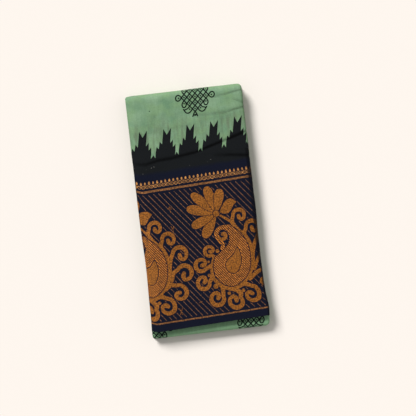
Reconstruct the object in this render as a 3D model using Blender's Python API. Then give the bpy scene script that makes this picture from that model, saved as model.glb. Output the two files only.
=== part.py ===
"""A cotton sari folded flat for the shelf, lying on its back third.

The whole length is folded lengthwise into a slab of many layers, and the slab is folded across in three.
The front third carries the broad woven border. It turns over the top fold into the back third, which
lies on the table, and that turns up at the bottom fold into the tucked third between the other two.

+X runs across the folded sari, +Y up towards the top fold, +Z away from the table. Sizes are in metres.
A point of the slab is told by x, by travel along its outermost cloth and by depth below that cloth.
Travel is 0 where the front third starts to turn over the top fold, and negative towards its selvedge.
"""

import math

import bmesh
import bpy

# Folded size
LENGTH = 0.380
WIDTH = 0.180
THIRD = 0.0082          # one third of the stack, with its outermost cloth
THIRDS_GAP = 0.0005     # air between two thirds
HEIGHT = 3 * THIRD + 2 * THIRDS_GAP

# Outermost cloth, drawn as a wall of a few layers
WALL = 0.0014
SEAM = 0.0003           # air between neighbouring solids

FOLD_POWER = 2.7        # 2 folds as a half circle, and more is squarer
FOLD_SAMPLES = 400


def fold_curve():
    """Points (way round, out, up) of a fold of radius 1, from its upper face to its lower one."""
    points = [(0.0, 0.0, 1.0)]
    for i in range(1, FOLD_SAMPLES + 1):
        angle = math.pi * i / FOLD_SAMPLES
        out = abs(math.sin(angle)) ** (2 / FOLD_POWER)
        up = math.copysign(abs(math.cos(angle)) ** (2 / FOLD_POWER), math.cos(angle))
        way, last_out, last_up = points[-1]
        points.append((way + math.hypot(out - last_out, up - last_up), out, up))
    return points


# The two folds across the slab
FOLD_CURVE = fold_curve()
FOLD_WAY = FOLD_CURVE[-1][0]
TOP_RADIUS = HEIGHT / 2
BOTTOM_RADIUS = THIRD + THIRDS_GAP / 2
TOP_TANGENT_Y = LENGTH / 2 - TOP_RADIUS
BOTTOM_TANGENT_Y = -LENGTH / 2 + BOTTOM_RADIUS
TOP_ARC = FOLD_WAY * TOP_RADIUS
BOTTOM_ARC = FOLD_WAY * BOTTOM_RADIUS
BACK_END = TOP_ARC + TOP_TANGENT_Y - BOTTOM_TANGENT_Y
TUCK_START = BACK_END + BOTTOM_ARC
TUCK_SHORT = 0.0010     # how far the tucked third stays out of the top fold's hollow
TUCK_END = TUCK_START + TOP_TANGENT_Y - BOTTOM_TANGENT_Y - TUCK_SHORT

# The front third's free edge. The cloth was folded a little askew.
SELVEDGE_Y = -0.1785    # at x = 0
SELVEDGE_TRAVEL = SELVEDGE_Y - TOP_TANGENT_Y
SKEW = math.tan(math.radians(2.2))
SQUARE_UP = 0.10        # the skew fades out over this much travel before the top fold
BORDER_DEPTH = 0.250    # selvedge to the end of the dark border

# By the left side the front third's weave is pulled up towards the top fold
PULL = 0.0035
PULL_FROM_X = -0.080
PULL_SPAN = 0.011

# Side where the slab was doubled last: its outermost cloth rolls round each third
ROLL = 0.0036           # how far in from the side the rounding starts
ROLL_POWER = 2.3        # 2 is an ellipse, and more is squarer
ROLL_STEPS = 8
ROLL_AIR = 0.0008       # air between the rolled cloth and the layers in it

# Side that shows the edges of the folded leaves
LEAVES = 6              # in each third
LEAF_ROUND = 0.0009
LEAF_SHAPE = (
    # share of the leaf's thickness, share of the rounding
    (0.00, 1.00),
    (0.18, 0.30),
    (0.50, 0.00),
    (0.82, 0.30),
)
LEAF_STAGGER = (0.0002, 0.0010, 0.0, 0.0008, 0.0003, 0.0012)
LEAF_WAVE = 0.0005
LEAF_WAVE_LENGTH = 0.21
LEAF_WAVE_SHIFT = 1.9   # radians from one leaf to the next
SELVEDGE_STAGGER = (0.0010, 0.0022, 0.0014, 0.0030, 0.0018, 0.0034)

# Outline from above: near-straight sides, a slight waist, a flare by the bottom fold and round corners
CORNER = 0.005
OUTLINE = {
    # side: rest, waist, waist centre y, waist spread, flare, flare centre y, flare spread
    -1: (0.0908, 0.0016, -0.078, 0.045, 0.0010, -0.180, 0.016),
    1: (0.0905, 0.0012, -0.085, 0.050, 0.0030, -0.163, 0.020),
}

# Loft: shares of its thickness that the stack loses away from its fullest places
SIDE_DROOP = {-1: 0.060, 1: 0.035}
DROOP_SPAN = 0.020
MIDDLE_SAG = 0.022
MIDDLE_SAG_Y = -0.020
MIDDLE_SAG_SPREAD = 0.110
END_SAG = 0.035
END_SAG_FROM_Y = -0.125
END_SAG_SPAN = 0.055

# Main creases of the front cloth. Down is the distance from the top fold.
CREASES = (
    # from x, down, to x, down, depth, half width
    (-0.055, 0.1060, 0.015, 0.0950, 0.00035, 0.0040),
    (0.015, 0.0950, 0.092, 0.0780, 0.00040, 0.0040),
    (0.030, 0.0430, 0.092, 0.0350, 0.00040, 0.0040),
    (0.045, 0.0150, 0.092, 0.0100, 0.00030, 0.0035),
    (0.070, 0.0190, 0.091, 0.0310, 0.00030, 0.0030),
    (0.040, 0.1040, 0.092, 0.1130, 0.00030, 0.0040),
)
DEEPEST_CREASE = 0.0004

# Columns across the cloth, as shares of half the width. The rolled side adds its own after the last.
PLAIN_COLUMNS = (-1.0, -0.955, -0.90, -0.83, -0.55, 0.0, 0.50, 0.80, 0.88)
CREASED_STEPS = 22


def smooth(t):
    t = min(1.0, max(0.0, t))
    return t * t * (3 - 2 * t)


def bump(distance, spread):
    return math.exp(-((distance / spread) ** 2))


def even(start, end, steps):
    return [start + (end - start) * i / steps for i in range(steps + 1)]


def half_width(side, y):
    """Distance of a side from the middle line, at y."""
    rest, waist, waist_y, waist_spread, flare, flare_y, flare_spread = OUTLINE[side]
    width = rest - waist * bump(y - waist_y, waist_spread) + flare * bump(y - flare_y, flare_spread)
    past = abs(y) - (LENGTH / 2 - CORNER)
    if past > 0:
        width -= CORNER - math.sqrt(max(0.0, CORNER**2 - past**2))
    return width


def loft(x, y):
    """Thickness of the stack at a place, as a share of its full thickness."""
    side = -1 if x < 0 else 1
    droop = SIDE_DROOP[side] * smooth((abs(x) - WIDTH / 2 + DROOP_SPAN) / DROOP_SPAN) ** 1.5
    sag = MIDDLE_SAG * bump(y - MIDDLE_SAG_Y, MIDDLE_SAG_SPREAD)
    end = END_SAG * smooth((END_SAG_FROM_Y - y) / END_SAG_SPAN)
    return 1 - droop - sag - end


def round_fold(share):
    """(out, up) on a fold of radius 1, this share of the way round it."""
    way = share * FOLD_WAY
    for (way1, out1, up1), (way2, out2, up2) in zip(FOLD_CURVE, FOLD_CURVE[1:]):
        if way <= way2:
            break
    t = min(1.0, (way - way1) / (way2 - way1))
    return out1 + (out2 - out1) * t, up1 + (up2 - up1) * t


def along_fold(travel, depth):
    """(y, z) of a point of the slab before it settles."""
    if travel <= 0:
        return TOP_TANGENT_Y + travel, HEIGHT - depth
    if travel <= TOP_ARC:
        out, up = round_fold(travel / TOP_ARC)
        radius = TOP_RADIUS - depth
        return TOP_TANGENT_Y + radius * out, TOP_RADIUS + radius * up
    if travel <= BACK_END:
        return TOP_TANGENT_Y - (travel - TOP_ARC), depth
    if travel <= TUCK_START:
        out, up = round_fold((travel - BACK_END) / BOTTOM_ARC)
        radius = BOTTOM_RADIUS - depth
        return BOTTOM_TANGENT_Y - radius * out, BOTTOM_RADIUS - radius * up
    return BOTTOM_TANGENT_Y + travel - TUCK_START, 2 * BOTTOM_RADIUS - depth


def place(x, travel, depth):
    """A point of the slab in the object's frame. x is nominal, within half the width."""
    y, z = along_fold(travel, depth)
    outer_y = along_fold(travel, 0.0)[0]
    side = -1 if x < 0 else 1
    x = x * half_width(side, outer_y) / (WIDTH / 2)
    return x, y, z * loft(x, outer_y)


def askew(travel, x):
    """Travel, at x, of the weft line that crosses the middle at this travel."""
    pull = PULL * smooth((PULL_FROM_X - x) / PULL_SPAN)
    return travel + (SKEW * x + pull) * min(1.0, max(0.0, -travel / SQUARE_UP))


def crease_depth(x, travel):
    """How far the front cloth dips at a place."""
    down = TOP_RADIUS - travel
    dip = 0.0
    for x1, down1, x2, down2, depth, spread in CREASES:
        run, fall = x2 - x1, down2 - down1
        share = ((x - x1) * run + (down - down1) * fall) / (run**2 + fall**2)
        share = min(1.0, max(0.0, share))
        off = math.hypot(x - x1 - share * run, down - down1 - share * fall)
        dip += depth * bump(off, spread)
    return min(dip, DEEPEST_CREASE)


def roll_inset(depth, skin):
    """How far a layer that lies under this much skin stays in from the rolled side, at a depth."""
    share = abs(depth - THIRD / 2) / (THIRD / 2 - skin)
    if share >= 1:
        return ROLL if skin <= WALL else ROLL + ROLL_AIR
    return skin + (ROLL - skin) * (1 - (1 - share**ROLL_POWER) ** (1 / ROLL_POWER))


def roll_points(skin):
    """(x, depth) round the rolled side of a third, from its outer face to its inner one."""
    points = []
    for i in range(ROLL_STEPS + 1):
        depth = THIRD / 2 - (THIRD / 2 - skin) * math.cos(math.pi * i / ROLL_STEPS)
        points.append((WIDTH / 2 - roll_inset(depth, skin), depth))
    return points


def wall_section(columns):
    """Closed (x, depth) outline of the outermost cloth: flat on the slab, rolled round one side."""
    outer = [(x * WIDTH / 2, 0.0) for x in columns] + roll_points(0.0)
    inner = [(x * WIDTH / 2, WALL) for x in PLAIN_COLUMNS] + roll_points(WALL)
    return outer, inner[::-1]


def material(name, colour, roughness):
    made = bpy.data.materials.new(name)
    made.use_nodes = True
    shader = made.node_tree.nodes["Principled BSDF"]
    shader.inputs["Base Color"].default_value = (*colour, 1.0)
    shader.inputs["Roughness"].default_value = roughness
    shader.inputs["Metallic"].default_value = 0.0
    return made


def finish(name, bm, look):
    bmesh.ops.triangulate(bm, faces=[face for face in bm.faces if len(face.verts) > 4])
    bmesh.ops.recalc_face_normals(bm, faces=bm.faces)
    mesh = bpy.data.meshes.new(name)
    bm.to_mesh(mesh)
    bm.free()
    mesh.materials.append(look)
    mesh.shade_smooth()
    mesh.set_sharp_from_angle(angle=math.radians(40))
    made = bpy.data.objects.new(name, mesh)
    bpy.context.scene.collection.objects.link(made)
    return made


def bridge(bm, rings):
    """Quads between each ring of vertices and the next."""
    for ring, following in zip(rings, rings[1:]):
        for i in range(len(ring)):
            j = (i + 1) % len(ring)
            bm.faces.new((ring[i], ring[j], following[j], following[i]))


def wall(name, stations, columns, look, creased=False):
    """A stretch of the outermost cloth, as a ring of vertices at each station along the fold."""
    outer, inner = wall_section(columns)
    bm = bmesh.new()
    rings = []
    for station in stations:
        ring = []
        for x, depth in outer:
            travel = askew(station, x)
            dip = crease_depth(x, travel) if creased else 0.0
            ring.append(bm.verts.new(place(x, travel, depth + dip)))
        for x, depth in inner:
            ring.append(bm.verts.new(place(x, askew(station, x), depth)))
        rings.append(ring)
    bridge(bm, rings)
    bm.faces.new(rings[0])
    bm.faces.new(rings[-1])
    return finish(name, bm, look)


def leaf_levels():
    """(depth, inset, leaf) down the side of the folded leaves, a few for each leaf and one to close."""
    top = WALL + SEAM
    step = (THIRD - top) / LEAVES
    levels = []
    for leaf in range(LEAVES):
        for share, inset in LEAF_SHAPE:
            levels.append((top + (leaf + share) * step, inset * LEAF_ROUND, leaf))
    levels.append((THIRD, LEAF_ROUND, LEAVES - 1))
    return levels


def leaf_edge(leaf, travel):
    """How far a leaf's folded edge stays in from the side."""
    angle = math.tau * travel / LEAF_WAVE_LENGTH + LEAF_WAVE_SHIFT * leaf
    return LEAF_STAGGER[leaf] + LEAF_WAVE * math.sin(angle)


def tuck_bulge(depth):
    """How far the tucked third's end bulges into the hollow of the top fold, at a depth."""
    hollow = TOP_RADIUS - THIRD - SEAM
    return math.sqrt(hollow**2 - (depth - THIRD / 2) ** 2) - TUCK_SHORT


def close_end(bm, left, rows):
    """Faces over an end of the leaves. A row of vertices runs across above each leaf and below the last."""
    for leaf, (upper, lower) in enumerate(zip(rows, rows[1:])):
        first = leaf * len(LEAF_SHAPE)
        bm.faces.new(left[first:first + len(LEAF_SHAPE) + 1] + [lower[0], upper[0]])
        for i in range(len(upper) - 1):
            bm.faces.new((upper[i], lower[i], lower[i + 1], upper[i + 1]))


def hidden_layers(stations, look):
    """The rest of the slab as one solid: leaves at one side, rolled at the other, ragged at its ends."""
    levels = leaf_levels()
    starts = levels[::len(LEAF_SHAPE)]
    bm = bmesh.new()

    def vertex(x, station, level):
        depth, inset, leaf = level
        travel = askew(station, x)
        if station == stations[0]:
            travel += SELVEDGE_STAGGER[leaf] + inset
        elif station == stations[-1]:
            travel += tuck_bulge(depth) - inset
        return bm.verts.new(place(x, travel, depth))

    def left_vertex(station, level):
        depth, inset, leaf = level
        return vertex(-WIDTH / 2 + inset + leaf_edge(leaf, station), station, level)

    def right_vertex(station, level):
        return vertex(WIDTH / 2 - roll_inset(level[0], WALL + ROLL_AIR), station, level)

    def across(station, level):
        return [vertex(x * WIDTH / 2, station, level) for x in PLAIN_COLUMNS[1:]]

    rings = []
    for station in stations:
        left = [left_vertex(station, level) for level in levels]
        right = [right_vertex(station, level) for level in starts]
        over = across(station, starts[0])
        under = across(station, starts[-1])
        rings.append(left + under + right[::-1] + over[::-1])
        if station in (stations[0], stations[-1]):
            rows = [over] + [across(station, level) for level in starts[1:-1]] + [under]
            close_end(bm, left, [row + [end] for row, end in zip(rows, right)])
    bridge(bm, rings)
    return finish("hidden_layers", bm, look)


def main():
    for old in list(bpy.data.objects):
        bpy.data.objects.remove(old)

    border = material("navy_border", (0.012, 0.014, 0.030), 0.75)
    body = material("green_body", (0.21, 0.35, 0.20), 0.88)
    tucked = material("green_tucked", (0.19, 0.32, 0.18), 0.88)
    layers = material("green_layers", (0.15, 0.26, 0.15), 0.90)

    flap = even(SELVEDGE_TRAVEL, 0.0, 24)
    top_fold = even(0.0, TOP_ARC, 10)
    back = even(TOP_ARC, BACK_END, 12)
    bottom_fold = even(BACK_END, TUCK_START, 8)
    sagging = TUCK_START + END_SAG_SPAN
    tuck = even(TUCK_START, sagging, 4) + even(sagging, TUCK_END, 7)[1:]

    creased_columns = even(PLAIN_COLUMNS[0], PLAIN_COLUMNS[-1], CREASED_STEPS)
    front_stations = flap + top_fold[1:-1] + [TOP_ARC - SEAM]
    front = wall("front_third", front_stations, creased_columns, border, creased=True)
    front.data.materials.append(body)
    for face in front.data.polygons:
        from_selvedge = face.center.y - SELVEDGE_Y - SKEW * face.center.x
        face.material_index = int(from_selvedge > BORDER_DEPTH)
    wall("back_third", back[:-1] + [BACK_END - SEAM], PLAIN_COLUMNS, body)
    wall("tucked_third", bottom_fold + tuck[1:], PLAIN_COLUMNS, tucked)
    hidden_layers(flap + top_fold[1:] + back[1:] + bottom_fold[1:] + tuck[1:], layers)


main()
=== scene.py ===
"""The look of the folded sari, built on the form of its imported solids.

A point of the outermost cloth is told in millimetres of flat cloth: u across from the middle and v from
the front selvedge, on over the top fold, under the back third and round the bottom fold. The woven and
printed ornament is drawn flat in u and v and laid on the cloth, a little above it.

+X runs across the folded sari, +Y up towards the top fold, +Z away from the table.
"""

import math

import bpy
import numpy as np
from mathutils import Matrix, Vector
from mathutils.geometry import delaunay_2d_cdt


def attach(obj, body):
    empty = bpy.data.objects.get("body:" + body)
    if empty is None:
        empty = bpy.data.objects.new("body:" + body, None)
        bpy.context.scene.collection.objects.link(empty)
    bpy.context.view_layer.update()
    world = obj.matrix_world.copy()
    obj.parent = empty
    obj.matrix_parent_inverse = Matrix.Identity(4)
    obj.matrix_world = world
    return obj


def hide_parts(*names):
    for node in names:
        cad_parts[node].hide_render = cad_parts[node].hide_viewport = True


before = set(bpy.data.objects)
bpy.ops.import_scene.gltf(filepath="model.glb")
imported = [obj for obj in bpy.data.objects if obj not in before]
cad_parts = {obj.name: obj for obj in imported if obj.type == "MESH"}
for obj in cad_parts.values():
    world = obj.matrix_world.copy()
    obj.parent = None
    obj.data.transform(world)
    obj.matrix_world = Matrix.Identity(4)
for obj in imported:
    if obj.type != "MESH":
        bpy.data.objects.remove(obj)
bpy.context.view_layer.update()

MM = 0.001

# Folded size, as in the part's source, in metres
LENGTH = 0.380
WIDTH = 0.180
THIRD = 0.0082
THIRDS_GAP = 0.0005
HEIGHT = 3 * THIRD + 2 * THIRDS_GAP
FOLD_POWER = 2.7
TOP_RADIUS = HEIGHT / 2
BOTTOM_RADIUS = THIRD + THIRDS_GAP / 2
TOP_TANGENT_Y = LENGTH / 2 - TOP_RADIUS
BOTTOM_TANGENT_Y = -LENGTH / 2 + BOTTOM_RADIUS

SELVEDGE_Y = -0.1785
SELVEDGE_TRAVEL = SELVEDGE_Y - TOP_TANGENT_Y
SKEW = math.tan(math.radians(2.2))
SQUARE_UP = 0.040       # the skew fades out over this much travel before the top fold
PULL = 0.0035
PULL_FROM_X = -0.080
PULL_SPAN = 0.011

ROLL = 0.0036
ROLL_POWER = 2.3

CORNER = 0.0035
OUTLINE = {
    # side: rest, waist, waist centre y, waist spread, flare, flare centre y, flare spread
    -1: (0.0908, 0.0016, -0.078, 0.045, 0.0010, -0.180, 0.016),
    1: (0.0905, 0.0012, -0.085, 0.050, 0.0030, -0.163, 0.020),
}
SIDE_DROOP = {-1: 0.060, 1: 0.035}
DROOP_SPAN = 0.020
MIDDLE_SAG = 0.022
MIDDLE_SAG_Y = -0.020
MIDDLE_SAG_SPREAD = 0.110
END_SAG = 0.035
END_SAG_FROM_Y = -0.125
END_SAG_SPAN = 0.055

# The outermost cloth, and how it turns under at the left side and past the roll
CLOTH = 0.0003
SELVEDGE_SHORT = 1.6    # millimetres that the selvedge lies short of the solid's end
EDGE_TURN = 0.00053
EDGE_RETURN = 0.0050
UNDER_RETURN = 0.0060
TURN_STEPS = 24
ROLL_STEPS = 80

# Main creases of the front, in millimetres from the left side and down from the top fold
CREASES = (
    # points of each: across, down, depth, and half width from there on
    ((6, 106.6, 0.25, 2.6), (20, 109.2, 0.45, 2.4), (40, 104.6, 0.62, 2.2), (60, 103.5, 0.68, 2.0),
     (98, 98.5, 0.84, 1.8), (119, 92.5, 0.89, 1.8), (155, 82.5, 0.89, 2.0), (190, 72, 0.81, 2.0)),
    ((126, 106.5, 0.14, 2.1), (150, 108.6, 0.59, 2.1), (188, 114, 0.68, 2.1)),
    ((8, 63, 0.14, 2.6), (100, 55, 0.20, 2.6)),
    ((112, 41.5, 0.20, 1.9), (152, 42.2, 0.40, 1.6), (164, 39.2, 0.55, 1.5), (190, 35.6, 0.66, 1.5)),
    ((136, 16.2, 0.27, 1.6), (157, 13.7, 0.52, 1.6), (168, 11.4, 0.48, 1.6), (190, 9.3, 0.40, 1.6)),
    ((165, 22.6, 0.20, 1.4), (174, 26.6, 0.46, 1.4), (184, 33.0, 0.50, 1.4)),
    ((30, 66, 0.07, 4.0), (41, 36, 0.24, 4.0)),
    ((50, 60, 0.24, 4.5), (57, 34, 0.07, 4.5)),
    ((88, 62, 0.22, 4.0), (84, 44, 0.07, 4.0)),
    ((140, 62, 0.27, 4.0), (148, 46, 0.07, 4.0)),
)
DEEP_CREASE = 0.85

# Creases across the rolled side of the two lower thirds, and how far the cloth stands off there
SIDE_CREASES = (
    # v, slant, depth, half width
    (421, 0.6, 0.44, 2.0), (447, -0.4, 0.28, 1.7), (489, 0.9, 0.48, 2.3), (541, -0.2, 0.30, 1.8),
    (566, 0.5, 0.44, 2.0), (618, -0.7, 0.36, 1.9), (655, 0.3, 0.26, 1.7), (702, 0.8, 0.48, 2.2),
    (731, -0.5, 0.32, 1.8), (846, -0.6, 0.48, 2.2), (871, 0.2, 0.28, 1.7), (925, 0.9, 0.44, 2.1),
    (969, -0.3, 0.34, 1.9), (1012, 0.6, 0.48, 2.3), (1037, -0.8, 0.32, 1.8), (1088, 0.4, 0.42, 2.0),
    (1119, -0.4, 0.28, 1.7),
)
SIDE_SWELL = 0.50
SIDE_RIPPLE = 0.08
SIDE_FADE = 12          # its swell fades out over this length at the folds

# The swell of the front cloth
SWELL = 0.85            # how far it stands off the layers under it
LEAST_SWELL = 0.02
EDGE_FADE = 9           # it grows over this width from the left side
SELVEDGE_SWELL = 0.3    # its share at the selvedge
SELVEDGE_FADE = 16      # and the length over which it grows from there
FOLD_FADE = 30          # it fades out over this length on the top fold
SWELL_ENDS = 6          # and is gone this far before the back
RIPPLES = (
    # height, length across, length along, phase
    (0.14, 230, 95, 0.4),
    (0.10, -120, 60, 1.9),
    (0.07, 75, -48, 3.1),
    (0.05, 44, 140, 4.6),
    (0.04, -30, 35, 0.9),
)

# The slight swell of the tucked cloth
TUCKED_SWELL = 0.12
TUCKED_RIPPLE = 0.10
TUCKED_FROM = 10        # it starts this far along the bottom fold
TUCKED_FADE = 14        # and grows over this length

# The layers inside each third, as leaves that wrap round the rolled side
LEAVES = 5
LEAF_TOP = 0.00036
LEAF_PITCH = 0.000745
LEAF_THICK = 0.00064
LEAF_BEND = 0.0002      # even the innermost leaves reach this far round the roll
LEAF_COLUMNS = (-0.955, -0.90, -0.83, -0.70, -0.45, 0.0, 0.45, 0.75, 0.86)
LEAF_END_STEPS = 4
LEAF_ROLL_STEPS = 8
LEAF_STAGGER = (0.9, 0.2, 1.1, 0.4, 0.0, 0.7, 1.3, 0.3, 0.8, 0.5)
LEAF_START = (2.8, 2.1, 4.0, 2.9, 4.8)
TOP_LEAF_SHORT = 6.0    # the topmost edge lies this far in, under the cloth that turns in there

# Ornament sizes, in millimetres of cloth
NAVY_ENDS = 247
BLACK_ENDS = 267
TEMPLE_BASE = 270.2
TEMPLES = (
    # u of the middle, height as a share
    (-113.7, 1.00), (-76.7, 1.02), (-38.9, 0.99), (-2.7, 1.02),
    (34.3, 1.01), (71.3, 1.05), (105.2, 1.03), (142.0, 0.99),
)
TEMPLE_LEAN = 0.19
TEMPLE_HALF = (
    # half width, height
    (18.85, 5.0), (15.2, -0.3), (15.5, 7.0), (14.7, 17.2),
    (11.0, 13.2), (10.3, 24.6), (6.3, 20.0), (6.0, 43.4),
)
TEMPLE_NOTCH = 33.8
STRIPE_PITCH = 8.0
STRIPE_HALF = 0.31
STRIPE_SLOPE = math.radians(52)
STRIPE_TOP = 215.6
STRIPE_END = 17.0
STRIPE_FIRST = -280.3
MOTIF_REPEAT = 131.5
FLOWER_U = 29.0
FLOWER_V = 170.5
BUD_PITCH = 6.32
BUD_FIRST = -81.1
BUD_V = 232.6
BUD_HALF = 1.5
BUD_RISE = 2.2
LINK_V = 227.5
LINK_RISE = 2.35
LINK_HALF = 0.42
LINK_DOT = 0.66
UPPER_RULE = (220.0, 3.3)   # its v and its thickness
LOWER_RULE = (14.2, 2.3)
RAISED = 0.12           # how far the zari stands above the cloth
SUNK = 0.06             # and how far the edges of all ornament reach into it

rng = np.random.default_rng(11)


def smooth(t):
    t = np.clip(t, 0.0, 1.0)
    return t * t * (3 - 2 * t)


def bump(distance, spread):
    return np.exp(-((distance / spread) ** 2))


def signed_power(value, power):
    return np.sign(value) * np.abs(value) ** power


def way_along(x, y):
    """Distance along a line of points, from its first one."""
    return np.concatenate([[0.0], np.cumsum(np.hypot(np.diff(x), np.diff(y)))])


def pairs(first, second):
    """Two arrays as one array of points."""
    return np.stack([first, second], axis=-1)


# A fold of radius 1, from its upper face to its lower one
fold_angle = np.linspace(0, math.pi, 801)
FOLD_OUT = np.sin(fold_angle).clip(0) ** (2 / FOLD_POWER)
FOLD_UP = signed_power(np.cos(fold_angle), 2 / FOLD_POWER)
FOLD_WAY = way_along(FOLD_OUT, FOLD_UP)

TOP_ARC = FOLD_WAY[-1] * TOP_RADIUS
BOTTOM_ARC = FOLD_WAY[-1] * BOTTOM_RADIUS
BACK_END = TOP_ARC + TOP_TANGENT_Y - BOTTOM_TANGENT_Y
TUCK_START = BACK_END + BOTTOM_ARC
TUCK_SHORT = 0.0010
TUCK_END = TUCK_START + TOP_TANGENT_Y - BOTTOM_TANGENT_Y - TUCK_SHORT


def side_reach(side, y):
    """Distance of a side from the middle line at y, before its corners are rounded."""
    rest, waist, waist_y, waist_spread, flare, flare_y, flare_spread = OUTLINE[side]
    return rest - waist * bump(y - waist_y, waist_spread) + flare * bump(y - flare_y, flare_spread)


def half_width(x, y):
    """Distance from the middle line of the side that x lies towards, at y."""
    past = np.clip(np.abs(y) - (LENGTH / 2 - CORNER), 0.0, CORNER)
    return np.where(x < 0, side_reach(-1, y), side_reach(1, y)) - (CORNER - np.sqrt(CORNER**2 - past**2))


def loft(x, y):
    """Thickness of the stack at a place, as a share of its full thickness."""
    side_droop = np.where(x < 0, SIDE_DROOP[-1], SIDE_DROOP[1])
    droop = side_droop * smooth((np.abs(x) - WIDTH / 2 + DROOP_SPAN) / DROOP_SPAN) ** 1.5
    sag = MIDDLE_SAG * bump(y - MIDDLE_SAG_Y, MIDDLE_SAG_SPREAD)
    end = END_SAG * smooth((END_SAG_FROM_Y - y) / END_SAG_SPAN)
    return 1 - droop - sag - end


def round_fold(way, radius, depth):
    """(out, up) from the middle of a fold, this far along it and this deep."""
    way = np.clip(way / radius, 0, FOLD_WAY[-1])
    return [(radius - depth) * np.interp(way, FOLD_WAY, form) for form in (FOLD_OUT, FOLD_UP)]


def along_fold(travel, depth):
    """(y, z) of points of the slab before it settles."""
    top_out, top_up = round_fold(travel, TOP_RADIUS, depth)
    low_out, low_up = round_fold(travel - BACK_END, BOTTOM_RADIUS, depth)
    top_y, back_y = TOP_TANGENT_Y + travel, TOP_TANGENT_Y - (travel - TOP_ARC)
    tuck_y = BOTTOM_TANGENT_Y + travel - TUCK_START
    stretches = [travel <= 0, travel <= TOP_ARC, travel <= BACK_END, travel <= TUCK_START]
    y = np.select(stretches, [top_y, TOP_TANGENT_Y + top_out, back_y, BOTTOM_TANGENT_Y - low_out], tuck_y)
    rise = [HEIGHT - depth, TOP_RADIUS + top_up, depth, BOTTOM_RADIUS - low_up]
    return y, np.select(stretches, rise, 2 * BOTTOM_RADIUS - depth)


def place(x, travel, depth):
    """Points of the slab in the object's frame. x is nominal, within half the width."""
    x, travel, depth = np.broadcast_arrays(x, travel, depth)
    y, z = along_fold(travel, depth)
    outer_y = along_fold(travel, np.zeros_like(depth))[0]
    x = x * half_width(x, outer_y) / (WIDTH / 2)
    return np.stack([x, y, z * loft(x, outer_y)], axis=-1)


def askew(travel, x):
    """Travel, at x, of the weft line that crosses the middle at this travel."""
    pull = PULL * smooth((PULL_FROM_X - x) / PULL_SPAN)
    return travel + (SKEW * x + pull) * np.clip(-travel / SQUARE_UP, 0, 1)


def cross_section():
    """(s, x, depth) along the outermost cloth from side to side. s is its length, and x where it is flat."""
    turn = np.linspace(0, math.pi, TURN_STEPS + 1)
    roll = np.linspace(0, math.pi, ROLL_STEPS + 1)
    left = -WIDTH / 2 + EDGE_TURN
    right = WIDTH / 2 - ROLL
    x = [[left + EDGE_RETURN], left - EDGE_TURN * np.sin(turn), [0.0]]
    x += [right + ROLL * np.sin(roll).clip(0) ** (2 / ROLL_POWER), [right - UNDER_RETURN]]
    depth = [[2 * EDGE_TURN], EDGE_TURN + EDGE_TURN * np.cos(turn), [0.0]]
    depth += [THIRD / 2 - THIRD / 2 * signed_power(np.cos(roll), 2 / ROLL_POWER), [THIRD]]
    x, depth = np.concatenate(x), np.concatenate(depth)
    s = way_along(x, depth)
    return s - s[len(turn) + 1], x, depth


SECTION_S, SECTION_X, SECTION_DEPTH = cross_section()
U_START = SECTION_S[0] / MM
U_EDGE = SECTION_S[1 + TURN_STEPS // 2] / MM
U_FLAT = SECTION_S[1 + TURN_STEPS] / MM
U_ROLL = (WIDTH / 2 - ROLL) / MM
U_UNDER = SECTION_S[-2] / MM
U_END = SECTION_S[-1] / MM

V_TOP = -SELVEDGE_TRAVEL / MM
V_BACK = V_TOP + TOP_ARC / MM
V_BOTTOM = V_TOP + BACK_END / MM
V_TUCK = V_TOP + TUCK_START / MM
V_END = V_TOP + TUCK_END / MM
HALF_U = WIDTH / 2 / MM


def travel_at(u, v):
    return askew(SELVEDGE_TRAVEL + v * MM, np.interp(u * MM, SECTION_S, SECTION_X))


def crease_depth(u, travel):
    """Depth of the creases of the front, in millimetres."""
    across, down = u + HALF_U, (TOP_RADIUS - travel) / MM
    dip = np.zeros(across.shape)
    for points in CREASES:
        for (across1, down1, depth1, spread), (across2, down2, depth2, _) in zip(points, points[1:]):
            run, fall = across2 - across1, down2 - down1
            share = ((across - across1) * run + (down - down1) * fall) / (run**2 + fall**2)
            share = np.clip(share, 0, 1)
            off = np.hypot(across - across1 - share * run, down - down1 - share * fall)
            dip = np.maximum(dip, (depth1 + (depth2 - depth1) * share) * bump(off, spread))
    return dip


def side_share(u, v):
    """1 on the middle of the rolled side of the two lower thirds, and 0 off it."""
    round_it = np.clip((u - U_ROLL) / (U_UNDER - U_ROLL), 0, 1)
    ends = smooth((v - V_BACK) / SIDE_FADE) * smooth((V_END - v) / SIDE_FADE)
    return np.sin(math.pi * round_it) ** 2 * ends


def side_depth(u, v):
    """Depth of the creases across the rolled side, in millimetres."""
    dip = np.zeros(u.shape)
    for middle, slant, depth, spread in SIDE_CREASES:
        off = (v - middle - slant * (u - U_ROLL)) / math.hypot(1, slant)
        dip = np.maximum(dip, depth * bump(off, spread))
    return dip * side_share(u, v)


def relief(u, v, travel):
    """Height of the cloth above its even form, in metres: a slight swell with ripples and creases."""
    ripple = sum(high * np.sin(math.tau * (u / across + v / along) + phase)
                 for high, across, along, phase in RIPPLES)
    front = (SWELL + ripple - crease_depth(u, travel)).clip(LEAST_SWELL)
    from_edge = smooth((u - U_EDGE) / EDGE_FADE)
    from_selvedge = SELVEDGE_SWELL + (1 - SELVEDGE_SWELL) * smooth(v / SELVEDGE_FADE)
    on_front = from_edge * smooth((V_BACK - SWELL_ENDS - v) / FOLD_FADE) * from_selvedge
    low = TUCKED_SWELL + TUCKED_RIPPLE * np.sin(u / 9.0) * np.sin(u / 23.0 + 1)
    on_tucked = smooth((v - V_BOTTOM - TUCKED_FROM) / TUCKED_FADE) * from_edge
    side = (SIDE_SWELL + SIDE_RIPPLE * np.sin(v / 11.0)) * side_share(u, v) - side_depth(u, v)
    return MM * (front * on_front + low * on_tucked + side.clip(0))


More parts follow.
